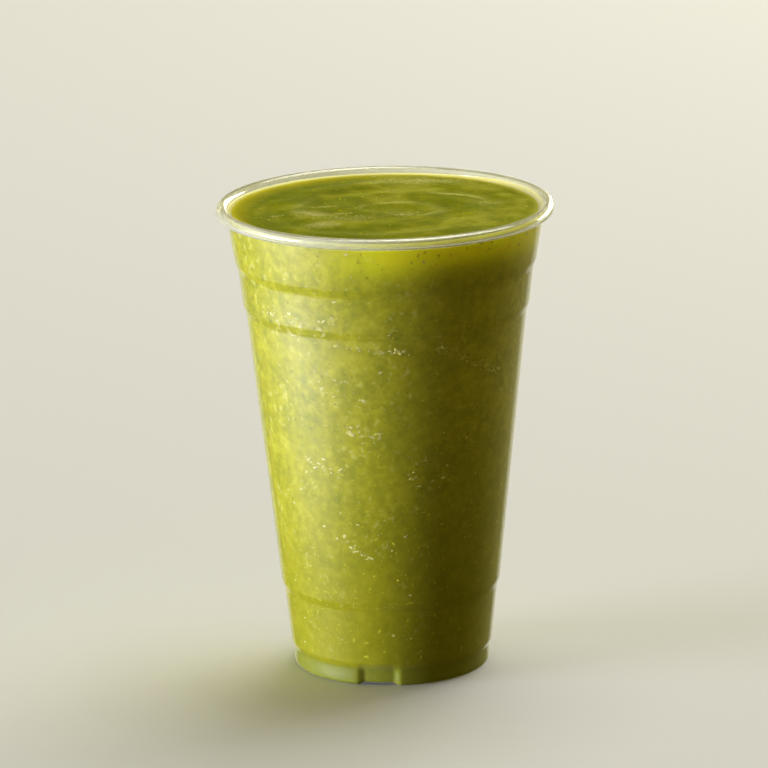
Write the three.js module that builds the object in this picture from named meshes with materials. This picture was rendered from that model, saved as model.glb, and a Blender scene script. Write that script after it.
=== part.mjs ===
// A green smoothie in its clear plastic cold cup, brim full.
//
// The cup is one sheet of clear plastic, formed over a mould: a pushed-up base, a foot band with
// three lifted notches, a tapered wall with four stacking ledges, and a rim that is rolled outwards
// into an open curl. The smoothie fills the cup to just under the rim, and its top is folded in low
// swirls. Both solids are turned about the Z axis. Lengths are millimetres, z = 0 is the surface
// that the cup stands on, and the front of the cup faces -Y.

import * as THREE from 'three';

// Driving dimensions of the cup
const HEIGHT = 138;
const RIM_RADIUS = 49;
const SHEET = 0.5;
const CURL_RADIUS = 1.72;
const CURL_END_ANGLE = -125;
const FOOT_RADIUS = 28.7;
const FOOT_ROUNDING = 1.2;
const FOOT_FLAT_WIDTH = 1.6;
const PUSH_UP_RADIUS = 24.4;
const PUSH_UP_HEIGHT = 3.4;
const PUSH_UP_DOME = 0.9;

// Each ledge starts at height z on the outside of the wall, and leans out by `step` over the
// height `rise`. Between ledges the wall is a plain cone.
const LEDGES = [
  { z: 5.2, radius: 28.75, rise: 1.8, step: 0.75 },
  { z: 23.3, radius: 31.2, rise: 2.3, step: 0.85 },
  { z: 106.6, radius: 40.75, rise: 2.3, step: 0.85 },
  { z: 119.3, radius: 42.8, rise: 2.4, step: 0.95 },
];

// Notches in the foot band: the band is pressed in, and its lower edge lifted off the table.
// Azimuths are in degrees from the front, and grow towards +X.
const NOTCH_COUNT = 3;
const NOTCH_FIRST_AZIMUTH = -8.4;
const NOTCH_HALF_WIDTH = 11;
const NOTCH_SIDE_WIDTH = 5;
const NOTCH_DEPTH = 1;
const NOTCH_LIFT = 0.6;
const NOTCH_FLOOR_TOP = 4.4;
const NOTCH_TOP = 6.2;

// The smoothie
const LEVEL = 135.8;
const GAP = 0.3;
const SWIRL_HEIGHT = 0.4;
const SWIRL_ARMS = 2;
const SWIRL_SPACING = 15;
const SWIRL_EYE_RADIUS = 9;
const TOP_RINGS = 10;

// Fineness of the turned surfaces
const SEGMENTS = 72;
const ARC_STEP = 30;

const { degToRad, smoothstep } = THREE.MathUtils;
const point = (r, z) => new THREE.Vector2(r, z);

// Points along an arc from one angle to another, both ends included
function arc(centre, radius, from, to) {
  const steps = Math.round(Math.abs(to - from) / ARC_STEP);
  const points = [];
  for (let i = 0; i <= steps; i++) {
    const angle = degToRad(from + ((to - from) * i) / steps);
    points.push(point(centre.x + radius * Math.cos(angle), centre.y + radius * Math.sin(angle)));
  }
  return points;
}

// The unit vector to the left of the line from a to b
function leftOf(a, b) {
  const along = b.clone().sub(a).normalize();
  return point(-along.y, along.x);
}

// The path moved to its left by a distance, with each corner mitred and a start on the axis kept there
function offsetPath(path, distance) {
  return path.map((p, i) => {
    if (i === 0) return point(p.x, p.y + distance);
    const before = leftOf(path[i - 1], p);
    const after = i < path.length - 1 ? leftOf(p, path[i + 1]) : before;
    const mitre = before.clone().add(after);
    return p.clone().addScaledVector(mitre, distance / (1 + before.dot(after)));
  });
}

// How deep the foot is pressed in at an azimuth, from 0 outside the notches to 1 in their middle
function notchShare(azimuth) {
  const spacing = 360 / NOTCH_COUNT;
  const past = THREE.MathUtils.euclideanModulo(azimuth - NOTCH_FIRST_AZIMUTH, spacing);
  const fromMiddle = Math.min(past, spacing - past);
  const sideStart = NOTCH_HALF_WIDTH - NOTCH_SIDE_WIDTH / 2;
  return 1 - smoothstep(fromMiddle, sideStart, sideStart + NOTCH_SIDE_WIDTH);
}

// The under side of the foot and the outside of its band and first ledge, with a notch pressed in
function footPath(share) {
  const roundingStart = FOOT_RADIUS - FOOT_ROUNDING;
  const plain = [
    point(roundingStart - FOOT_FLAT_WIDTH, 0),
    ...arc(point(roundingStart, FOOT_ROUNDING), FOOT_ROUNDING, -90, 0),
    point(FOOT_RADIUS, NOTCH_FLOOR_TOP),
    point(LEDGES[0].radius, LEDGES[0].z),
  ];
  return plain.map((p, i) => {
    const inset = i === 0 ? 0 : NOTCH_DEPTH * (1 - smoothstep(p.y, NOTCH_FLOOR_TOP, NOTCH_TOP));
    const lift = NOTCH_LIFT * (1 - smoothstep(p.y, FOOT_ROUNDING, NOTCH_FLOOR_TOP));
    return point(p.x - share * inset, p.y + share * lift);
  });
}

// The outside of the sheet, from the middle of the base to the tip of the rolled rim
function sheetPath(azimuth) {
  const base = [
    point(0, PUSH_UP_HEIGHT + PUSH_UP_DOME),
    point(PUSH_UP_RADIUS / 2, PUSH_UP_HEIGHT + PUSH_UP_DOME * 0.75),
    point(PUSH_UP_RADIUS, PUSH_UP_HEIGHT),
  ];
  const wall = LEDGES.flatMap((ledge) => [
    point(ledge.radius, ledge.z),
    point(ledge.radius + ledge.step, ledge.z + ledge.rise),
  ]);
  const curlCentre = point(RIM_RADIUS - CURL_RADIUS, HEIGHT - CURL_RADIUS);
  const curlInside = CURL_RADIUS - SHEET / Math.cos(degToRad(ARC_STEP / 2));
  const curl = arc(curlCentre, curlInside, 180, CURL_END_ANGLE);
  return [...base, ...footPath(notchShare(azimuth)), ...wall.slice(1), ...curl];
}

// The cup's section at an azimuth: out along one side of the sheet and back along the other
function cupProfile(azimuth) {
  const outside = sheetPath(azimuth);
  return [...outside, ...offsetPath(outside, SHEET).reverse()];
}

// Height of the smoothie's folds above its level: spiral arms that start outside a calm eye and
// die down before the wall
function swirl(azimuth, radius, wallRadius) {
  const eye = smoothstep(radius, 0, SWIRL_EYE_RADIUS);
  const rim = 1 - smoothstep(radius, wallRadius * 0.7, wallRadius * 0.97);
  const phase = (2 * Math.PI * radius) / SWIRL_SPACING + SWIRL_ARMS * degToRad(azimuth);
  return SWIRL_HEIGHT * eye * rim * Math.sin(phase);
}

// The smoothie's section at an azimuth: up the lining of the cup to the level, then in to the axis
function smoothieProfile(azimuth) {
  const lining = offsetPath(sheetPath(azimuth), SHEET + GAP);
  const above = lining.findIndex((p) => p.y > LEVEL);
  const below = lining[above - 1];
  const share = (LEVEL - below.y) / (lining[above].y - below.y);
  const edge = below.clone().lerp(lining[above], share);
  const top = [];
  for (let ring = TOP_RINGS; ring >= 0; ring--) {
    const radius = (edge.x * ring) / TOP_RINGS;
    top.push(point(radius, LEVEL + swirl(azimuth, radius, edge.x)));
  }
  return [...lining.slice(0, above), ...top];
}

// Turns a profile that may change with the azimuth about the Z axis, starting at the front
function turned(profileAt) {
  const first = profileAt(0);
  const geometry = new THREE.LatheGeometry(first, SEGMENTS);
  geometry.rotateX(Math.PI / 2);
  for (let turn = 0; turn <= SEGMENTS; turn++) {
    const azimuth = (360 * (turn % SEGMENTS)) / SEGMENTS;
    const angle = degToRad(azimuth);
    profileAt(azimuth).forEach((p, i) => {
      const index = turn * first.length + i;
      geometry.attributes.position.setXYZ(index, p.x * Math.sin(angle), -p.x * Math.cos(angle), p.y);
    });
  }
  geometry.computeVertexNormals();
  return geometry;
}

// The names and looks of the two solids
function makeCup() {
  const material = new THREE.MeshStandardMaterial({
    color: 0xe6ebe4,
    roughness: 0.08,
    metalness: 0,
    transparent: true,
    opacity: 0.3,
  });
  const cup = new THREE.Mesh(turned(cupProfile), material);
  cup.name = 'cup';
  return cup;
}

function makeSmoothie() {
  const material = new THREE.MeshStandardMaterial({ color: 0xa3a42b, roughness: 0.4, metalness: 0 });
  const smoothie = new THREE.Mesh(turned(smoothieProfile), material);
  smoothie.name = 'smoothie';
  return smoothie;
}

const cupOfSmoothie = new THREE.Group();
cupOfSmoothie.add(makeCup(), makeSmoothie());

export default cupOfSmoothie;
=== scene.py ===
# A green smoothie in its clear plastic cold cup, brim full, on a plain pale floor.
#
# The cup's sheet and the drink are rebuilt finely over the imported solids. Lengths are metres, and
# azimuths are degrees from the front of the cup (-Y) that grow towards +X.

import math

import bmesh
import bpy
import numpy as np
from mathutils import Matrix, Vector


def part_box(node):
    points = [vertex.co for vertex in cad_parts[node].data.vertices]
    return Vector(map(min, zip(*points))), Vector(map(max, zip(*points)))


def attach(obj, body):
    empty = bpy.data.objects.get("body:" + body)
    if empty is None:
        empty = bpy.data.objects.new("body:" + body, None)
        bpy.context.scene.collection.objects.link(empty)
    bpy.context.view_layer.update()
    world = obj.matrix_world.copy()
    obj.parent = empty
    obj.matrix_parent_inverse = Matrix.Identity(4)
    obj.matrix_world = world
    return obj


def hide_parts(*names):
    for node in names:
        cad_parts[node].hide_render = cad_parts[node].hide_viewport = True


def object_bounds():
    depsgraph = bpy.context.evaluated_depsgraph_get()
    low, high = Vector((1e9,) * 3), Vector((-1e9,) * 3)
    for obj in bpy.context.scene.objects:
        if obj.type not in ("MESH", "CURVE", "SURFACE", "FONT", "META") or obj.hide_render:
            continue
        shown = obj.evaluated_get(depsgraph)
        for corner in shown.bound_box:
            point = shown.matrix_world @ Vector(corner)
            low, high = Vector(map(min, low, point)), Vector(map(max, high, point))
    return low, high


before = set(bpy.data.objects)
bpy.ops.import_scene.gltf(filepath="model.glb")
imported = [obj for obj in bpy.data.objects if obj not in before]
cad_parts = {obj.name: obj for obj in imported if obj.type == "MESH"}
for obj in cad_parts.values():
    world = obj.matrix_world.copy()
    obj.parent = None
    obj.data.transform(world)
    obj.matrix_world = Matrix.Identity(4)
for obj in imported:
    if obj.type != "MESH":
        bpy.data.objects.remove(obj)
cad_low, cad_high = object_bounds()

# The cup, with its height and rim from the frame
HEIGHT = cad_high.z
RIM_RADIUS = cad_high.x
SHEET = 0.0005
CURL_RADIUS = 0.00172
CURL_END_ANGLE = -125
FOOT_RADIUS = 0.0287
FOOT_ROUNDING = 0.0012
FOOT_FLAT_WIDTH = 0.0016
PUSH_UP_RADIUS = 0.0244
PUSH_UP_HEIGHT = 0.0034
PUSH_UP_DOME = 0.0009

# Ledges of the wall: height and outer radius where each starts, its rise and its step outwards
LEDGES = [
    (0.0052, 0.02875, 0.0018, 0.00075),
    (0.0233, 0.0312, 0.0023, 0.00085),
    (0.1066, 0.04075, 0.0023, 0.00085),
    (0.1193, 0.0428, 0.0024, 0.00095),
]

# Radii of the bends in the sheet, from the middle of the base outwards and up
DOME_ROUNDING = 0.02
PUSH_UP_ROUNDING = 0.0009
FOOT_FLAT_ROUNDING = 0.0008
FOOT_BAND_ROUNDING = 0.001
FIRST_LEDGE_ROUNDING = 0.0015
LEDGE_ROUNDING = 0.0035

# Notches in the foot band
NOTCH_COUNT = 3
NOTCH_FIRST_AZIMUTH = -8.4
NOTCH_HALF_WIDTH = 11
NOTCH_SIDE_WIDTH = 5
NOTCH_DEPTH = 0.001
NOTCH_LIFT = 0.0006
NOTCH_FLOOR_TOP = 0.0044
NOTCH_TOP = 0.0062

# The drink: it reaches BITE into the sheet, so that no air shows between them. Its level is the top
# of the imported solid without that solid's folds. Its edge is at EDGE_RADIUS, starts EDGE_DEPTH below
# the level, and stays RIM_CLEARANCE under the top of the rim.
BITE = 0.00015
SOLID_SWIRL_HEIGHT = 0.0004
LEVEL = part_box("smoothie")[1].z - SOLID_SWIRL_HEIGHT
EDGE_RADIUS = 0.0451
EDGE_DEPTH = 0.0015
RIM_CLEARANCE = 0.0003

# Broad swirls in the drink's top
SWIRL_HEIGHT = 0.00025
SWIRL_ARMS = 2
SWIRL_SPACING = 0.015
SWIRL_EYE_RADIUS = 0.009

# Low relief of the top, which dies down over a calm stretch before the wall
COARSE_LENGTH = 0.009
COARSE_HEIGHT = 0.00008
FINE_LENGTH = 0.0026
FINE_HEIGHT = 0.00002
RING_HEIGHT = 0.00002
CALM_WIDTH = 0.004

# The drink climbs the wall a little all round, and stands as a film at the back right
MENISCUS_RISE = 0.0004
MENISCUS_WIDTH = 0.0009
FILM_RISE = 0.0011
FILM_AZIMUTH = 118
FILM_HALF_WIDTH = 30

# Folds in the drink's top: azimuth and radius where each starts and ends, its height and its width
FOLDS = [
    (145, 0.0215, 110, 0.0300, 0.00045, 0.0017),
    (38, 0.0134, 83, 0.0166, 0.00020, 0.0010),
    (-150, 0.0085, -95, 0.0070, 0.00012, 0.0007),
    (-60, 0.0270, -128, 0.0240, 0.00009, 0.0014),
    (-20, 0.0330, 40, 0.0300, 0.00009, 0.0014),
]

# Froth on the top: x and y of the middle of each patch, its half sizes along x and y, and its strength
FROTH_PATCHES = [
    (-0.0210, -0.0046, 0.0042, 0.0030, 1.0),
    (-0.0150, -0.0050, 0.0045, 0.0007, 0.8),
    (-0.0181, -0.0187, 0.0040, 0.0026, 0.9),
    (-0.0174, 0.0042, 0.0035, 0.0009, 0.5),
    (-0.0092, -0.0105, 0.0060, 0.0030, 0.35),
    (-0.0314, -0.0063, 0.0016, 0.0009, 0.5),
    (0.0088, 0.0358, 0.0130, 0.0040, 0.45),
    (0.0034, 0.0079, 0.0050, 0.0013, 0.45),
    (0.0050, -0.0064, 0.0048, 0.0026, 0.4),
    (0.0311, 0.0071, 0.0040, 0.0020, 0.35),
]

# A fold is painted pale too, as a painted highlight along its crest, by this share for each metre of its
# height. The bubbles in a patch number this many for each square metre of its half sizes multiplied,
# times its strength, and lie within about this share of its half sizes.
FOLD_PAINTED_HIGHLIGHT = 3000
FROTH_DENSITY = 2.5e7
FROTH_SCATTER = 0.6

# Drifts of bubbles on the wall: azimuth and height where each starts and ends, half width, and count.
# The bubbles of a drift lie within about this share of its half width.
DRIFT_SCATTER = 0.7
BUBBLE_DRIFTS = [
    (-58, 0.1125, -22, 0.1095, 0.0018, 60),
    (-44, 0.1070, -40, 0.1066, 0.0004, 8),
    (-27, 0.1050, 9, 0.1030, 0.0005, 50),
    (20, 0.1045, 54, 0.0925, 0.0014, 120),
    (-32, 0.0960, -8, 0.0900, 0.0030, 30),
    (-24, 0.0810, -2, 0.0760, 0.0016, 36),
    (-42, 0.0690, -22, 0.0655, 0.0014, 30),
    (-30, 0.0480, -10, 0.0400, 0.0018, 26),
    (8, 0.0700, 30, 0.0640, 0.0030, 26),
    (95, 0.1045, 150, 0.1030, 0.0008, 80),
    (170, 0.0900, 215, 0.0700, 0.0030, 60),
    (-130, 0.1050, -95, 0.1035, 0.0008, 60),
    (-160, 0.0620, -120, 0.0500, 0.0030, 40),
]

# How many bubbles and flecks are spread evenly over the wall and over the top, with a margin inside
# the top's edge and above the first ledge, and half the thickness of those on the wall
BUBBLES_ON_WALL, BUBBLES_ON_TOP = 420, 160
PULP_ON_WALL, PULP_ON_TOP = 4400, 360
LEAF_ON_WALL, LEAF_ON_TOP = 1900, 240
TOP_MARGIN = 0.002
LEDGE_MARGIN = 0.003
FLECK_THICKNESS = 0.00004

# Heights where the mist on the cold wall ends, and where the drink's open top starts
MIST_TOP = 0.1335
OPEN_TOP_START = LEVEL - 0.0012

# How far light spreads in the drink, and in the bands near its top that carry a painted glow
SPREAD = 0.0018
GLOW_BAND_SPREAD = 0.008

# Fineness of the turned meshes
AZIMUTH_STEPS = 400
AZIMUTHS = np.arange(AZIMUTH_STEPS) * 360 / AZIMUTH_STEPS
TOP_RINGS = 100
SIDE_SPACING = 0.002

SEED = 7


def smoothstep(value, low, high):
    share = np.clip((np.asarray(value, float) - low) / (high - low), 0, 1)
    return share * share * (3 - 2 * share)


# Profiles are arrays of (radius, height) points

def arc(centre, radius, start, end, steps):
    angles = np.radians(np.linspace(start, end, steps + 1))
    return np.stack([centre[0] + radius * np.cos(angles), centre[1] + radius * np.sin(angles)], 1)


def rounded(corners, radii, steps=5):
    """The corners as a path, each turned into an arc of its own radius. A radius of 0 keeps the corner."""
    path = [corners[0]]
    for before, corner, after, radius in zip(corners, corners[1:], corners[2:], radii):
        if radius == 0:
            path.append(corner)
            continue
        back = (before - corner) / np.linalg.norm(before - corner)
        on = (after - corner) / np.linalg.norm(after - corner)
        half = math.acos(np.clip(back @ on, -1, 1)) / 2
        reach = radius / math.tan(half)
        middle = corner + (back + on) / np.linalg.norm(back + on) * radius / math.sin(half)
        start = corner + back * reach - middle
        end = corner + on * reach - middle
        beside = np.array([-start[1], start[0]])
        span = math.atan2(beside @ end, start @ end)
        for turn in span * np.linspace(0, 1, steps + 1):
            path.append(middle + start * math.cos(turn) + beside * math.sin(turn))
    return np.array([*path, corners[-1]])


def offset(path, distance):
    """The path moved to its left by a distance, with each corner mitred. Its start stays on the axis."""
    along = np.diff(path, axis=0)
    along /= np.linalg.norm(along, axis=1)[:, None]
    left = np.stack([-along[:, 1], along[:, 0]], 1)
    before = np.vstack([[0, 1], left])
    after = np.vstack([[0, 1], left[1:], left[-1:]])
    return path + (before + after) * (distance / (1 + (before * after).sum(1)))[:, None]


def notch_share(azimuth):
    """How deep the foot is pressed in, from 0 outside the notches to 1 in their middle."""
    spacing = 360 / NOTCH_COUNT
    past = np.mod(azimuth - NOTCH_FIRST_AZIMUTH, spacing)
    from_middle = np.minimum(past, spacing - past)
    side_start = NOTCH_HALF_WIDTH - NOTCH_SIDE_WIDTH / 2
    return 1 - smoothstep(from_middle, side_start, side_start + NOTCH_SIDE_WIDTH)


def sheet_path(share):
    """The outside of the sheet, from the middle of the base to the tip of the rolled rim."""
    rounding_start = FOOT_RADIUS - FOOT_ROUNDING
    band = np.linspace(FOOT_ROUNDING, NOTCH_FLOOR_TOP, 4)[1:]
    foot = np.vstack([
        arc((rounding_start, FOOT_ROUNDING), FOOT_ROUNDING, -90, 0, 7),
        np.stack([np.full(len(band), FOOT_RADIUS), band], 1),
        [[LEDGES[0][1], LEDGES[0][0]]],
    ])
    inset = NOTCH_DEPTH * (1 - smoothstep(foot[:, 1], NOTCH_FLOOR_TOP, NOTCH_TOP))
    lift = NOTCH_LIFT * (1 - smoothstep(foot[:, 1], FOOT_ROUNDING, NOTCH_FLOOR_TOP))
    foot = foot + share * np.stack([-inset, lift], 1)
    base = np.array([
        [0, PUSH_UP_HEIGHT + PUSH_UP_DOME],
        [PUSH_UP_RADIUS / 2, PUSH_UP_HEIGHT + PUSH_UP_DOME * 0.75],
        [PUSH_UP_RADIUS, PUSH_UP_HEIGHT],
        [rounding_start - FOOT_FLAT_WIDTH, share * NOTCH_LIFT],
    ])
    base_radii = [DOME_ROUNDING, PUSH_UP_ROUNDING, FOOT_FLAT_ROUNDING]
    foot_radii = [0] * (len(foot) - 1) + [FOOT_BAND_ROUNDING]
    curl_centre = (RIM_RADIUS - CURL_RADIUS, HEIGHT - CURL_RADIUS)
    curl = arc(curl_centre, CURL_RADIUS - SHEET, 180, CURL_END_ANGLE, 30)
    wall = []
    for start, radius, rise, step in LEDGES:
        wall += [[radius, start], [radius + step, start + rise]]
    wall_radii = [FIRST_LEDGE_ROUNDING] + [LEDGE_ROUNDING] * (len(wall) - 2)
    curl_radii = [0] * (len(curl) - 1)
    corners = np.vstack([base, foot, wall[1:], curl])
    return rounded(corners, base_radii + foot_radii + wall_radii + curl_radii)


def finer(path, like, spacing):
    """The path with each stretch cut into equal parts, about as long as spacing on the path `like`."""
    lengths = np.linalg.norm(np.diff(like, axis=0), axis=1)
    parts = np.maximum(1, np.ceil(lengths / spacing)).astype(int)
    points = [path[0]]
    for start, end, count in zip(path, path[1:], parts):
        points += [start + (end - start) * (i + 1) / count for i in range(count)]
    return np.array(points)


# Smooth random relief: a sum of plane waves of like length in random directions

def make_waves(rng, length, count=24):
    directions = rng.normal(size=(count, 3))
    directions /= np.linalg.norm(directions, axis=1)[:, None]
    numbers = 2 * np.pi / (length * rng.uniform(0.7, 1.5, count))
    return directions * numbers[:, None], rng.uniform(0, 2 * np.pi, count)


def ripple(points, waves):
    """Relief between about -1 and 1 at each point."""
    numbers, phases = waves
    return np.sin(points @ numbers.T + phases).sum(1) / math.sqrt(len(phases))


def on_turn(azimuth, radius, height):
    """Points at azimuths in degrees, radii and heights."""
    turn = np.radians(azimuth)
    return np.stack(np.broadcast_arrays(radius * np.sin(turn), -radius * np.cos(turn), height), -1)


def link_piece(name, mesh):
    piece = bpy.data.objects.new(name, mesh)
    bpy.context.scene.collection.objects.link(piece)
    return piece


def turned_piece(name, rings):
    """A piece from one profile for each azimuth. Points on the axis are merged."""
    count, length = rings.shape[:2]
    places = on_turn(AZIMUTHS[:, None], rings[..., 0], rings[..., 1])
    ring = np.arange(count)[:, None] * length
    next_ring = np.roll(ring, -1)
    step = np.arange(length - 1)[None, :]
    faces = np.stack([ring + step, next_ring + step, next_ring + step + 1, ring + step + 1], -1)
    mesh = bpy.data.meshes.new(name)
    mesh.from_pydata(places.reshape(-1, 3), [], faces.reshape(-1, 4).tolist())
    whole = bmesh.new()
    whole.from_mesh(mesh)
    on_axis = [v for v in whole.verts if math.hypot(v.co.x, v.co.y) < 1e-7]
    bmesh.ops.remove_doubles(whole, verts=on_axis, dist=1e-6)
    bmesh.ops.recalc_face_normals(whole, faces=whole.faces)
    whole.to_mesh(mesh)
    whole.free()
    mesh.shade_smooth()
    return link_piece(name, mesh)


def make_cup():
    """The sheet: up its outside, round the tip of the rolled rim and back along its inside."""
    rings = []
    for azimuth in AZIMUTHS:
        outside = sheet_path(notch_share(azimuth))
        inside = offset(outside, SHEET)
        middle = (outside[-1] + inside[-1]) / 2
        across = outside[-1] - middle
        ahead = np.array([across[1], -across[0]])
        tip = [middle + across * math.cos(a) + ahead * math.sin(a) for a in np.radians([45, 90, 135])]
        rings.append(np.vstack([outside, tip, inside[::-1]]))
    return turned_piece("clear_cup", np.array(rings))


def swirl(azimuth, radius, wall_radius):
    """Height of the spiral arms, which start outside a calm eye and die down before the wall."""
    eye = smoothstep(radius, 0, SWIRL_EYE_RADIUS)
    rim = 1 - smoothstep(radius, wall_radius * 0.7, wall_radius * 0.97)
    phase = 2 * np.pi * radius / SWIRL_SPACING + SWIRL_ARMS * np.radians(azimuth)
    return SWIRL_HEIGHT * eye * rim * np.sin(phase)


def meniscus_rise(azimuth):
    """How far the drink climbs the wall."""
    from_film = np.mod(azimuth - FILM_AZIMUTH + 180, 360) - 180
    return MENISCUS_RISE + FILM_RISE * np.exp(-(from_film / FILM_HALF_WIDTH) ** 2)


def drink_radius(height):
    """Radius of the drink's side at a height above the foot."""
    lining = offset(sheet_path(0), SHEET - BITE)
    lining = lining[:int(np.argmax(lining[:, 1]))]
    side = lining[lining[:, 1] > LEDGES[0][0]]
    return np.interp(height, side[:, 1], side[:, 0])


def fold_height(azimuth, radius, fold):
    """Height that a fold adds: a ridge along a short spiral, which fades out at both ends."""
    start_azimuth, start_radius, end_azimuth, end_radius, height, width = fold
    span = end_azimuth - start_azimuth
    past = np.mod((azimuth - start_azimuth) * np.sign(span), 360)
    share = np.clip(past / abs(span), 0, 1)
    across = (radius - start_radius - (end_radius - start_radius) * share) / width
    gentle_outside, steep_inside = 1.4, 0.55
    reach = np.where(across > 0, gentle_outside, steep_inside)
    return height * np.exp(-(across / reach) ** 2) * np.sin(np.pi * share) ** 0.7


def make_rings(rng, count=18):
    """Fine rings left by stirring: their spacing, how often they wind, and their phase."""
    return rng.uniform(0.0018, 0.0055, count), rng.integers(-3, 4, count), rng.uniform(0, 2 * np.pi, count)


def ring_relief(azimuth, radius, rings):
    total = 0
    for spacing, winds, phase in zip(*rings):
        total = total + np.sin(2 * np.pi * radius / spacing + winds * np.radians(azimuth) + phase)
    return total / math.sqrt(len(rings[0]))


def froth_and_highlight_share(azimuth, radius):
    """How pale the top is, from 0 to 1: froth in the patches, and a painted highlight along the folds."""
    turn = np.radians(azimuth)
    x, y = radius * np.sin(turn), -radius * np.cos(turn)
    share = 0
    for middle_x, middle_y, half_x, half_y, strength in FROTH_PATCHES:
        away = ((x - middle_x) / half_x) ** 2 + ((y - middle_y) / half_y) ** 2
        share = share + strength * np.exp(-away)
    for fold in FOLDS:
        share = share + FOLD_PAINTED_HIGHLIGHT * fold_height(azimuth, radius, fold)
    return np.clip(share, 0, 1)


class Top:
    """The relief of the drink's top, the same for the drink and for what lies on it."""

    def __init__(self):
        rng = np.random.default_rng(SEED)
        self.coarse = make_waves(rng, COARSE_LENGTH)
        self.fine = make_waves(rng, FINE_LENGTH)
        self.rings = make_rings(rng)

    def edge(self, azimuth):
        return drink_radius(LEVEL + meniscus_rise(azimuth))

    def height(self, azimuth, radius):
        rise = meniscus_rise(azimuth)
        edge = self.edge(azimuth)
        calm = smoothstep(edge - radius, 0, CALM_WIDTH)
        places = on_turn(azimuth, radius, 0)
        outside_middle = smoothstep(radius, 0.002, 0.008)
        uneven = COARSE_HEIGHT * ripple(places, self.coarse) + FINE_HEIGHT * ripple(places, self.fine)
        uneven += RING_HEIGHT * ring_relief(azimuth, radius, self.rings) * outside_middle
        height = LEVEL + swirl(azimuth, radius, edge) + rise * np.exp(-(edge - radius) / MENISCUS_WIDTH)
        height = height + calm * (uneven + sum(fold_height(azimuth, radius, fold) for fold in FOLDS))
        return np.minimum(height, HEIGHT - RIM_CLEARANCE)


def make_smoothie(top):
    """The drink: up the lining of the cup, up its own edge and in over the top."""
    plain = offset(sheet_path(0), SHEET - BITE)
    side_end = int(np.argmax(plain[:, 1] > LEVEL - EDGE_DEPTH))
    rings = []
    for azimuth in AZIMUTHS:
        lining = offset(sheet_path(notch_share(azimuth)), SHEET - BITE)
        side = finer(lining[:side_end], plain[:side_end], SIDE_SPACING)
        edge_heights = np.linspace(side[-1][1], LEVEL + meniscus_rise(azimuth), 6)[1:]
        edge = np.stack([drink_radius(edge_heights), edge_heights], 1)
        radius = edge[-1][0] * np.linspace(1, 0, TOP_RINGS + 1)[1:]
        inner = np.stack([radius, top.height(np.full(TOP_RINGS, azimuth), radius)], 1)
        rings.append(np.vstack([side, edge, inner]))
    drink = turned_piece("smoothie_drink", np.array(rings))
    mark_froth_and_highlight(drink.data)
    return drink


def mark_froth_and_highlight(mesh):
    """Keeps the share of froth and of painted fold highlight at each point in the mesh, for the material
    of the top.
    """
    places = np.array([vertex.co for vertex in mesh.vertices])
    azimuths = np.degrees(np.arctan2(places[:, 0], -places[:, 1]))
    froth_and_painted_light = froth_and_highlight_share(azimuths, np.hypot(places[:, 0], places[:, 1]))
    kept = mesh.attributes.new("froth_and_painted_light", "FLOAT", "POINT")
    kept.data.foreach_set("value", froth_and_painted_light.astype(np.float32))


# Small things in the drink. Each kind is one mesh of many lumps.

def ball(sides, rings):
    """Points and triangles of a closed ball of radius 1."""
    points = [[0, 0, 1]]
    for tilt in np.pi * np.arange(1, rings + 1) / (rings + 1):
        radius, height = math.sin(tilt), math.cos(tilt)
        for turn in 2 * np.pi * np.arange(sides) / sides:
            points.append([radius * math.cos(turn), radius * math.sin(turn), height])
    points.append([0, 0, -1])
    bottom = len(points) - 1
    faces = []
    for i in range(sides):
        j = (i + 1) % sides
        faces.append([0, 1 + i, 1 + j])
        for ring in range(rings - 1):
            upper, lower = 1 + ring * sides, 1 + (ring + 1) * sides
            faces += [[upper + i, lower + i, lower + j], [upper + i, lower + j, upper + j]]
        faces.append([bottom, bottom - sides + j, bottom - sides + i])
    return np.array(points), np.array(faces)


def frames_for(outwards, spins):
    """Three axes for each lump: two in the surface, turned by the spin in radians, and the way out.

    The first is level where the spin is 0. It is found from a direction that no lump faces.
    """
    across = np.cross(outwards, [0, 0.31, 0.95])
    across /= np.linalg.norm(across, axis=1)[:, None]
    along = np.cross(outwards, across)
    first = across * np.cos(spins)[:, None] + along * np.sin(spins)[:, None]
    second = np.cross(outwards, first)
    return np.stack([first, second, outwards], 1)


def wall_spots(azimuths, heights):
    """Places on the drink's side, and the way out at each."""
    reach = 0.0005
    lean = (drink_radius(heights + reach) - drink_radius(heights - reach)) / (2 * reach)
    out = on_turn(azimuths, np.ones(len(azimuths)), -lean)
    return on_turn(azimuths, drink_radius(heights), heights), out / np.linalg.norm(out, axis=1)[:, None]


def top_spots(top, azimuths, radii):
    """Places on the drink's top, and the way out at each, which is taken as straight up."""
    places = on_turn(azimuths, radii, top.height(azimuths, radii))
    return places, np.tile([0.0, 0.0, 1.0], (len(places), 1))


def spread_on_wall(rng, count):
    """Azimuths and heights spread evenly over the drink's side."""
    low, high = LEDGES[0][0] + LEDGE_MARGIN, LEVEL - EDGE_DEPTH
    heights = rng.uniform(low, high, 2 * count)
    kept = rng.uniform(0, RIM_RADIUS, 2 * count) < drink_radius(heights)
    heights = heights[kept][:count]
    return rng.uniform(-180, 180, len(heights)), heights


def spread_on_top(rng, count):
    """Azimuths and radii spread evenly over the drink's top."""
    azimuths = rng.uniform(-180, 180, count)
    return azimuths, (drink_radius(LEVEL) - TOP_MARGIN) * np.sqrt(rng.uniform(0, 1, count))


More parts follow.
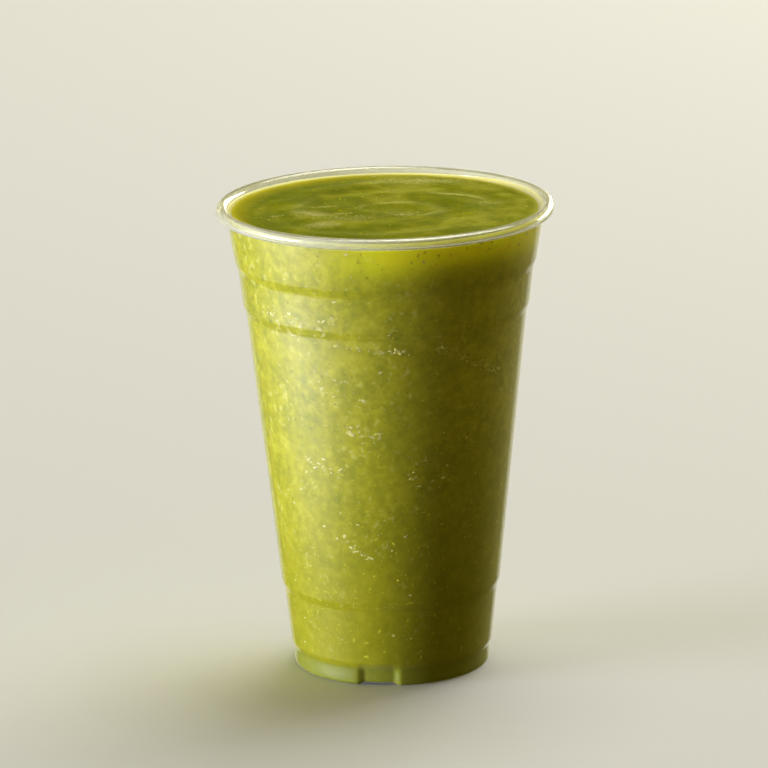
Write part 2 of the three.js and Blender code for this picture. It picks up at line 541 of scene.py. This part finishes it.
def lumps(name, material, spots, sizes, rng, sides, rings, uneven, sunk, spread=np.pi):
    """One piece with a lump at each spot. Sizes are half lengths along, across and out of the surface.

    Each lump is a ball of so many sides and rings, with its points moved in and out by a share of up
    to uneven. It is sunk into the drink by a share of its half thickness, and turned from level by up
    to spread, in radians.
    """
    places, outwards = spots
    points, faces = ball(sides, rings)
    frames = frames_for(outwards, rng.uniform(-spread, spread, len(places)))
    shapes = points * sizes[:, None, :] * (1 + uneven * rng.uniform(-1, 1, (len(places), len(points), 1)))
    middles = places - outwards * (sizes[:, 2] * sunk)[:, None]
    corners = middles[:, None, :] + shapes @ frames
    numbers = np.arange(len(places))[:, None, None] * len(points) + faces
    mesh = bpy.data.meshes.new(name)
    mesh.from_pydata(corners.reshape(-1, 3), [], numbers.reshape(-1, 3).tolist())
    mesh.shade_smooth()
    mesh.materials.append(material)
    piece = link_piece(name, mesh)
    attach(piece, "root")


def join_spots(*groups):
    return np.vstack([group[0] for group in groups]), np.vstack([group[1] for group in groups])


def uneven_sizes(rng, count, small, large, thickness, length):
    """Many small and a few large lumps, between two half widths, and up to length times as long."""
    width = small + (large - small) * rng.uniform(0, 1, count) ** 3
    return np.stack([width * rng.uniform(1, length, count), width, np.full(count, thickness)], 1)


def make_wall_bubbles():
    """Air bubbles against the wall, alone and in drifts."""
    rng = np.random.default_rng(SEED + 1)
    azimuths, heights = spread_on_wall(rng, BUBBLES_ON_WALL)
    for start_azimuth, start_height, end_azimuth, end_height, half_width, count in BUBBLE_DRIFTS:
        share = rng.uniform(0, 1, count)
        azimuths = np.append(azimuths, start_azimuth + (end_azimuth - start_azimuth) * share)
        middle = start_height + (end_height - start_height) * share
        heights = np.append(heights, middle + half_width * rng.normal(size=count) * DRIFT_SCATTER)
    sizes = uneven_sizes(rng, len(heights), 0.00014, 0.00066, FLECK_THICKNESS, 2.4)
    spots = wall_spots(azimuths, heights)
    lumps("wall_bubbles", bubble_material(), spots, sizes, rng,
          sides=9, rings=3, uneven=0.3, sunk=0.65, spread=0.7)


def make_froth_bubbles(top):
    """Small bubbles on the top, most of them in the patches of froth."""
    rng = np.random.default_rng(SEED + 2)
    azimuths, radii = spread_on_top(rng, BUBBLES_ON_TOP)
    for middle_x, middle_y, half_x, half_y, strength in FROTH_PATCHES:
        count = int(half_x * half_y * strength * FROTH_DENSITY)
        x = middle_x + rng.normal(size=count) * half_x * FROTH_SCATTER
        y = middle_y + rng.normal(size=count) * half_y * FROTH_SCATTER
        azimuths = np.append(azimuths, np.degrees(np.arctan2(x, -y)))
        radii = np.append(radii, np.hypot(x, y))
    sizes = uneven_sizes(rng, len(radii), 0.00007, 0.00026, 0.00006, 1.5)
    spots = top_spots(top, azimuths, radii)
    lumps("froth_bubbles", bubble_material(), spots, sizes, rng, sides=8, rings=4, uneven=0.05, sunk=0.2)


def make_pulp_flecks(top):
    """Pale shreds of fruit, laid against the wall and on the top."""
    rng = np.random.default_rng(SEED + 3)
    wall = wall_spots(*spread_on_wall(rng, PULP_ON_WALL))
    spots = join_spots(wall, top_spots(top, *spread_on_top(rng, PULP_ON_TOP)))
    sizes = uneven_sizes(rng, len(spots[0]), 0.00013, 0.00048, FLECK_THICKNESS, 2.6)
    lumps("pulp_flecks", pulp_material(), spots, sizes, rng, sides=6, rings=3, uneven=0.25, sunk=0.6)


def make_leaf_flecks(top):
    """Dark crumbs of leaf, laid against the wall and on the top."""
    rng = np.random.default_rng(SEED + 4)
    wall = wall_spots(*spread_on_wall(rng, LEAF_ON_WALL))
    spots = join_spots(wall, top_spots(top, *spread_on_top(rng, LEAF_ON_TOP)))
    sizes = uneven_sizes(rng, len(spots[0]), 0.00013, 0.00050, FLECK_THICKNESS, 1.8)
    lumps("leaf_flecks", leaf_material(), spots, sizes, rng, sides=6, rings=3, uneven=0.3, sunk=0.6)


def paint(piece, first, second, chosen):
    """Gives the piece its first material, and the faces that are chosen its second."""
    piece.data.materials.append(first)
    piece.data.materials.append(second)
    for face in piece.data.polygons:
        face.material_index = int(chosen(face))


# Materials. Values and colours are passed on as outputs of nodes, or as plain numbers.

UP = (0, 0, 1)


def new_material(name):
    material = bpy.data.materials.new(name)
    material.use_nodes = True
    nodes = material.node_tree.nodes
    return material, nodes, material.node_tree.links, nodes["Principled BSDF"]


def object_place(nodes):
    return nodes.new("ShaderNodeTexCoord").outputs["Object"]


def feed(links, value, socket):
    """Links an output to a socket, or sets the socket to a number, a vector or an opaque colour."""
    if isinstance(value, bpy.types.NodeSocket):
        links.new(value, socket)
    elif isinstance(value, tuple) and len(socket.default_value) > len(value):
        socket.default_value = (*value, 1)
    else:
        socket.default_value = value


def add_math(nodes, links, kind, first, second):
    """A sum or product of two values."""
    node = nodes.new("ShaderNodeMath")
    node.operation = kind
    feed(links, first, node.inputs[0])
    feed(links, second, node.inputs[1])
    return node.outputs["Value"]


def add_vector_math(nodes, links, kind, *vectors):
    """The outputs of one step of vector arithmetic."""
    node = nodes.new("ShaderNodeVectorMath")
    node.operation = kind
    for vector, socket in zip(vectors, node.inputs):
        feed(links, vector, socket)
    return node.outputs


def distance_along(nodes, links, place, direction):
    """How far a place lies in a direction."""
    return add_vector_math(nodes, links, "DOT_PRODUCT", place, direction)["Value"]


def step_between(nodes, links, value, low, high, first=0, last=1):
    """A value that goes smoothly from first to last as the given one goes from low to high."""
    node = nodes.new("ShaderNodeMapRange")
    node.interpolation_type = "SMOOTHSTEP"
    node.inputs["From Min"].default_value = low
    node.inputs["From Max"].default_value = high
    node.inputs["To Min"].default_value = first
    node.inputs["To Max"].default_value = last
    links.new(value, node.inputs["Value"])
    return node.outputs["Result"]


def add_noise(nodes, links, place, scale, detail=3):
    noise = nodes.new("ShaderNodeTexNoise")
    noise.inputs["Scale"].default_value = scale
    noise.inputs["Detail"].default_value = detail
    noise.inputs["Roughness"].default_value = 0.55
    links.new(place, noise.inputs["Vector"])
    return noise.outputs["Fac"]


def add_noises(nodes, links, place, layers, detail=3):
    """A weighted sum of noises. The layers are pairs of scale and weight."""
    total = 0.0
    for scale, weight in layers:
        part = add_math(nodes, links, "MULTIPLY", add_noise(nodes, links, place, scale, detail), weight)
        total = add_math(nodes, links, "ADD", total, part)
    return total


def ramp(nodes, links, value, stops):
    """A colour that runs through the stops, each a position and three numbers."""
    node = nodes.new("ShaderNodeValToRGB")
    elements = node.color_ramp.elements
    for element, (position, colour) in zip(elements, (stops[0], stops[-1])):
        element.position = position
        element.color = (*colour, 1)
    for position, colour in stops[1:-1]:
        elements.new(position).color = (*colour, 1)
    links.new(value, node.inputs["Fac"])
    return node.outputs["Color"]


def mixed(nodes, links, share, first, second):
    node = nodes.new("ShaderNodeMixRGB")
    links.new(share, node.inputs["Fac"])
    feed(links, first, node.inputs["Color1"])
    feed(links, second, node.inputs["Color2"])
    return node.outputs["Color"]


def spread_light(nodes, links, shader, froth_and_painted_light):
    """Light spreads under the surface, and much farther in a band with a painted glow. It goes far in red
    and green only.
    """
    shader.inputs["Subsurface Weight"].default_value = 1
    shader.inputs["Subsurface Radius"].default_value = (1, 0.9, 0.2)
    spread = step_between(nodes, links, froth_and_painted_light, 0, 1, SPREAD, GLOW_BAND_SPREAD)
    links.new(spread, shader.inputs["Subsurface Scale"])


def side_mottle(nodes, links, place):
    """Blended fruit and leaf, mottled at all scales, with soft pale smears."""
    value = add_noises(nodes, links, place, [(55, 0.20), (150, 0.22), (360, 0.42), (900, 0.16)])
    colour = ramp(nodes, links, value, [
        (0.39, (0.312, 0.352, 0.002)),
        (0.47, (0.414, 0.424, 0.003)),
        (0.53, (0.494, 0.486, 0.005)),
        (0.61, (0.596, 0.588, 0.024)),
    ])
    smears = step_between(nodes, links, add_noise(nodes, links, place, 430, 2), 0.56, 0.68, 0, 0.7)
    drifts = step_between(nodes, links, add_noise(nodes, links, place, 90, 2), 0.44, 0.60)
    smears = add_math(nodes, links, "MULTIPLY", smears, drifts)
    return mixed(nodes, links, smears, colour, (0.72, 0.70, 0.14))


def side_painted_glow(nodes, links, place, height):
    """The share of a pale band under the rim at the right, a painted glow for light that comes through the
    rolled rim.
    """
    high = step_between(nodes, links, height, 0.1215, 0.1310)
    right = distance_along(nodes, links, place, (0.85, -0.53, 0))
    right = step_between(nodes, links, right, 0, 0.032)
    return add_math(nodes, links, "MULTIPLY", high, right)


def side_material():
    """The drink against the wall, darker low down as painted shade, darker in the foot band, and with a
    painted glow under the rim at the right.
    """
    material, nodes, links, shader = new_material("smoothie_side")
    place = object_place(nodes)
    height = distance_along(nodes, links, place, UP)
    colour = side_mottle(nodes, links, place)
    # Painted shade: the colour darkens towards the bottom, where less light falls.
    low = step_between(nodes, links, height, 0.095, 0.005, 0, 0.70)
    colour = mixed(nodes, links, low, colour, (0.28, 0.275, 0.002))
    foot = step_between(nodes, links, height, 0.0064, 0.0046, 0, 0.7)
    colour = mixed(nodes, links, foot, colour, (0.21, 0.25, 0.025))
    # Painted glow: a pale, far-spreading band under the rim at the right, where light comes through the
    # rolled rim.
    froth_and_painted_light = side_painted_glow(nodes, links, place, height)
    colour = mixed(nodes, links, froth_and_painted_light, colour, (0.93, 0.94, 0.008))
    links.new(colour, shader.inputs["Base Color"])
    shader.inputs["Roughness"].default_value = 0.5
    shader.inputs["Specular IOR Level"].default_value = 0
    spread_light(nodes, links, shader, froth_and_painted_light)
    return material


def stirred_streaks(nodes, links, flat, radius):
    """Noise that changes little on the way round the middle, so that it runs round in streaks."""
    direction = add_vector_math(nodes, links, "NORMALIZE", flat)["Vector"]
    rise = nodes.new("ShaderNodeCombineXYZ")
    links.new(radius, rise.inputs["Z"])
    narrow = (0.012, 0.012, 0)
    place = add_vector_math(nodes, links, "MULTIPLY_ADD", direction, narrow, rise.outputs["Vector"])
    return add_noise(nodes, links, place["Vector"], 260, 1)


def top_mottle(nodes, links, place, streaks, right):
    """Blots and streaks, with painted shade towards the left and a painted sheen towards the right."""
    blots = add_noises(nodes, links, place, [(70, 0.50), (170, 0.32)], 1)
    value = add_math(nodes, links, "ADD", blots, add_math(nodes, links, "MULTIPLY", streaks, 0.18))
    # Painted shade darkens the left of the top, and a painted sheen of reflected light pales its right.
    painted_shade_and_sheen = step_between(nodes, links, right, -0.035, 0.030, -0.10, 0.035)
    return ramp(nodes, links, add_math(nodes, links, "ADD", value, painted_shade_and_sheen), [
        (0.38, (0.150, 0.180, 0.001)),
        (0.48, (0.200, 0.222, 0.002)),
        (0.54, (0.248, 0.262, 0.006)),
        (0.64, (0.335, 0.343, 0.025)),
    ])


def top_froth_and_highlight(nodes, links, place):
    """The share of froth and of painted fold highlight, from the mesh, broken up into fine grains."""
    froth_and_painted_light = nodes.new("ShaderNodeAttribute")
    froth_and_painted_light.attribute_name = "froth_and_painted_light"
    grain = add_noises(nodes, links, place, [(260, 0.6), (900, 0.4)])
    grain = step_between(nodes, links, grain, 0.36, 0.60, 0.35)
    return add_math(nodes, links, "MULTIPLY", froth_and_painted_light.outputs["Fac"], grain)


def near_edge(nodes, links, radius, start, end, last=1):
    """A value that rises to last between two distances from the top's edge."""
    return step_between(nodes, links, radius, EDGE_RADIUS - start, EDGE_RADIUS - end, 0, last)


def top_material():
    """The drink's open top: wet and stirred, with a painted golden glow along its edge at the back left,
    where light comes in through the thin edge.
    """
    material, nodes, links, shader = new_material("smoothie_top")
    place = object_place(nodes)
    flat = add_vector_math(nodes, links, "MULTIPLY", place, (1, 1, 0))["Vector"]
    radius = add_vector_math(nodes, links, "LENGTH", flat)["Value"]
    right = distance_along(nodes, links, place, (0.9, 0.4, 0))
    colour = top_mottle(nodes, links, place, stirred_streaks(nodes, links, flat, radius), right)
    # Froth in the patches, and a painted highlight along the crests of the folds.
    colour = mixed(nodes, links, top_froth_and_highlight(nodes, links, place), colour, (0.50, 0.50, 0.13))

    # Painted glow: golden along the edge at the back left, where light comes in through the thin edge.
    back_left = distance_along(nodes, links, place, (-0.75, 0.66, 0))
    back_left = step_between(nodes, links, back_left, 0.008, 0.034)
    painted_edge_glow = near_edge(nodes, links, radius, 0.0080, 0.0010, 0.8)
    painted_edge_glow = add_math(nodes, links, "MULTIPLY", painted_edge_glow, back_left)
    colour = mixed(nodes, links, painted_edge_glow, colour, (0.41, 0.38, 0.002))

    # A band along the edge, with a painted golden glow at the left that turns greener towards the right.
    # Light spreads farther in it.
    fringe = near_edge(nodes, links, radius, 0.0035, 0.0005)
    right_share = step_between(nodes, links, right, -0.010, 0.020)
    fringe_colour = mixed(nodes, links, right_share, (0.43, 0.400, 0.003), (0.33, 0.34, 0.035))
    colour = mixed(nodes, links, fringe, colour, fringe_colour)
    film = near_edge(nodes, links, radius, 0.0010, 0.0003)
    colour = mixed(nodes, links, film, colour, (0.39, 0.38, 0.25))
    links.new(colour, shader.inputs["Base Color"])

    bump = nodes.new("ShaderNodeBump")
    bump.inputs["Strength"].default_value = 0.15
    bump.inputs["Distance"].default_value = 0.0001
    links.new(add_noises(nodes, links, place, [(900, 0.6), (2600, 0.4)]), bump.inputs["Height"])
    links.new(bump.outputs["Normal"], shader.inputs["Normal"])
    shader.inputs["Roughness"].default_value = 0.6
    shader.inputs["Specular IOR Level"].default_value = 0.03
    spread_light(nodes, links, shader, fringe)
    return material


def fleck_material(name, dark, light, roughness, gloss):
    """A small thing in the drink, each a little different in colour from the next."""
    material, nodes, links, shader = new_material(name)
    noise = add_noise(nodes, links, object_place(nodes), 700, 2)
    links.new(ramp(nodes, links, noise, [(0.4, dark), (0.6, light)]), shader.inputs["Base Color"])
    shader.inputs["Roughness"].default_value = roughness
    shader.inputs["Specular IOR Level"].default_value = gloss
    return material


def bubble_material():
    return fleck_material("bubble", (0.54, 0.53, 0.08), (0.73, 0.71, 0.23), 0.5, 0.1)


def pulp_material():
    return fleck_material("pulp", (0.44, 0.44, 0.004), (0.57, 0.55, 0.03), 0.6, 0)


def leaf_material():
    return fleck_material("leaf", (0.26, 0.30, 0.003), (0.42, 0.43, 0.004), 0.6, 0)


def plastic_material(name):
    """Clear formed plastic."""
    material, nodes, links, shader = new_material(name)
    shader.inputs["Base Color"].default_value = (0.97, 0.98, 0.97, 1)
    shader.inputs["Roughness"].default_value = 0.03
    shader.inputs["IOR"].default_value = 1.5
    shader.inputs["Transmission Weight"].default_value = 1
    return material, nodes, links, shader


def misted_material():
    """The cold wall of the cup, with a fine mist of water on it that scatters a soft gloss."""
    material, nodes, links, shader = plastic_material("misted_plastic")
    place = object_place(nodes)
    height = distance_along(nodes, links, place, UP)
    patches = add_noises(nodes, links, place, [(55, 0.2), (300, 0.45), (1500, 0.35)])
    mist = step_between(nodes, links, patches, 0.40, 0.58, 0.82, 1)
    thinner_low = step_between(nodes, links, height, 0.015, 0.105, 0.25, 0.80)
    thinner_high = step_between(nodes, links, height, 0.110, 0.124, 1, 0.82)
    amount = add_math(nodes, links, "MULTIPLY", thinner_low, thinner_high)
    links.new(add_math(nodes, links, "MULTIPLY", mist, amount), shader.inputs["Coat Weight"])
    shader.inputs["Coat Roughness"].default_value = 0.39
    shader.inputs["Coat IOR"].default_value = 2.9
    shader.inputs["Sheen Weight"].default_value = 0.25
    shader.inputs["Sheen Roughness"].default_value = 0.4
    return material


def rim_material():
    """The rolled rim: clear plastic that whitened a little where it was bent."""
    material, nodes, links, shader = plastic_material("rolled_plastic")
    noise = add_noise(nodes, links, object_place(nodes), 60)
    haze = step_between(nodes, links, noise, 0.3, 0.7, 0.82, 0.90)
    links.new(haze, shader.inputs["Transmission Weight"])
    shader.inputs["Base Color"].default_value = (0.92, 0.93, 0.84, 1)
    shader.inputs["Roughness"].default_value = 0.09
    return material


def floor_material():
    """A pale floor that throws little light up at the drink."""
    material, nodes, links, shader = new_material("floor")
    ray = nodes.new("ShaderNodeLightPath").outputs["Is Diffuse Ray"]
    colour = mixed(nodes, links, ray, (0.74, 0.755, 0.85), (0.05, 0.042, 0.005))
    links.new(colour, shader.inputs["Base Color"])
    shader.inputs["Roughness"].default_value = 0.9
    return material


# The stage: floor, lights and camera

def make_floor():
    mesh = bpy.data.meshes.new("floor")
    disc = bmesh.new()
    bmesh.ops.create_circle(disc, cap_ends=True, segments=96, radius=5)
    disc.to_mesh(mesh)
    disc.free()
    mesh.materials.append(floor_material())
    floor = link_piece("floor", mesh)
    floor.visible_glossy = False


def add_area_light(name, azimuth, elevation, distance, size, power, colour):
    """A soft light that points at the middle of the cup, and doesn't show itself."""
    data = bpy.data.lights.new(name, "AREA")
    data.shape = "RECTANGLE"
    data.size, data.size_y = size
    data.energy = power
    data.color = colour
    light = bpy.data.objects.new(name, data)
    tilt = math.radians(elevation)
    towards = Vector(on_turn(azimuth, math.cos(tilt), math.sin(tilt)))
    light.location = Vector((0, 0, HEIGHT / 2)) + towards * distance
    light.rotation_euler = towards.to_track_quat("Z", "Y").to_euler()
    light.visible_camera = False
    bpy.context.scene.collection.objects.link(light)


def make_world(colour, behind_colour):
    """Even light from all round, and a pale glow low down behind the cup that catches its outline."""
    world = bpy.data.worlds.new("studio")
    world.use_nodes = True
    nodes, links = world.node_tree.nodes, world.node_tree.links
    direction = nodes.new("ShaderNodeTexCoord").outputs["Generated"]
    behind = distance_along(nodes, links, direction, (0, 0.955, -0.297))
    share = step_between(nodes, links, behind, 0.86, 0.96)
    links.new(mixed(nodes, links, share, colour, behind_colour), nodes["Background"].inputs["Color"])
    bpy.context.scene.world = world


# The camera, fitted to the rim, ledges and foot in the 768 pixel square photograph
CAMERA_PLACE = Vector((0, -1.6, 0.505))
CAMERA_PITCH = 14.76
CAMERA_YAW = -0.04
CAMERA_ROLL = -0.96
FOCAL_PIXELS = 5676
PHOTO_PIXELS = 768
SENSOR_WIDTH = 36


def make_camera():
    pitch, yaw, roll = map(math.radians, (CAMERA_PITCH, CAMERA_YAW, CAMERA_ROLL))
    ahead = Vector((math.sin(yaw) * math.cos(pitch), math.cos(yaw) * math.cos(pitch), -math.sin(pitch)))
    level_right = Vector((math.cos(yaw), -math.sin(yaw), 0))
    level_up = level_right.cross(ahead)
    right = level_right * math.cos(roll) + level_up * math.sin(roll)
    up = level_up * math.cos(roll) - level_right * math.sin(roll)
    data = bpy.data.cameras.new("camera")
    data.sensor_width = SENSOR_WIDTH
    data.lens = SENSOR_WIDTH * FOCAL_PIXELS / PHOTO_PIXELS
    data.clip_start, data.clip_end = 0.05, 30
    camera = bpy.data.objects.new("camera", data)
    turn = Matrix((right, up, -ahead)).transposed().to_4x4()
    camera.matrix_world = Matrix.Translation(CAMERA_PLACE) @ turn
    bpy.context.scene.collection.objects.link(camera)
    bpy.context.scene.camera = camera


cup = make_cup()
paint(cup, rim_material(), misted_material(), lambda face: face.center.z < MIST_TOP)
cup.visible_shadow = False
cup.visible_diffuse = False
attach(cup, "root")
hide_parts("cup")

top = Top()
drink = make_smoothie(top)
paint(drink, side_material(), top_material(),
      lambda face: face.center.z > OPEN_TOP_START and face.normal.z > 0.2)
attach(drink, "root")
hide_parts("smoothie")

make_wall_bubbles()
make_froth_bubbles(top)
make_pulp_flecks(top)
make_leaf_flecks(top)

make_floor()
# Each light has an azimuth and elevation, a distance, a size, a power and a colour
add_area_light("key", -74.5, 2, 3, (1.5, 0.34), 158, (0.99, 1, 1.12))
add_area_light("ceiling", 150, 65, 3, (2.4, 2.4), 60, (1, 0.99, 0.9))
add_area_light("back", 148, 9, 3, (2.4, 0.8), 66, (1, 0.93, 0.66))
make_world((0.17, 0.136, 0.0085), (0.7, 0.69, 0.5))
make_camera()
bpy.context.scene.view_settings.view_transform = "Standard"
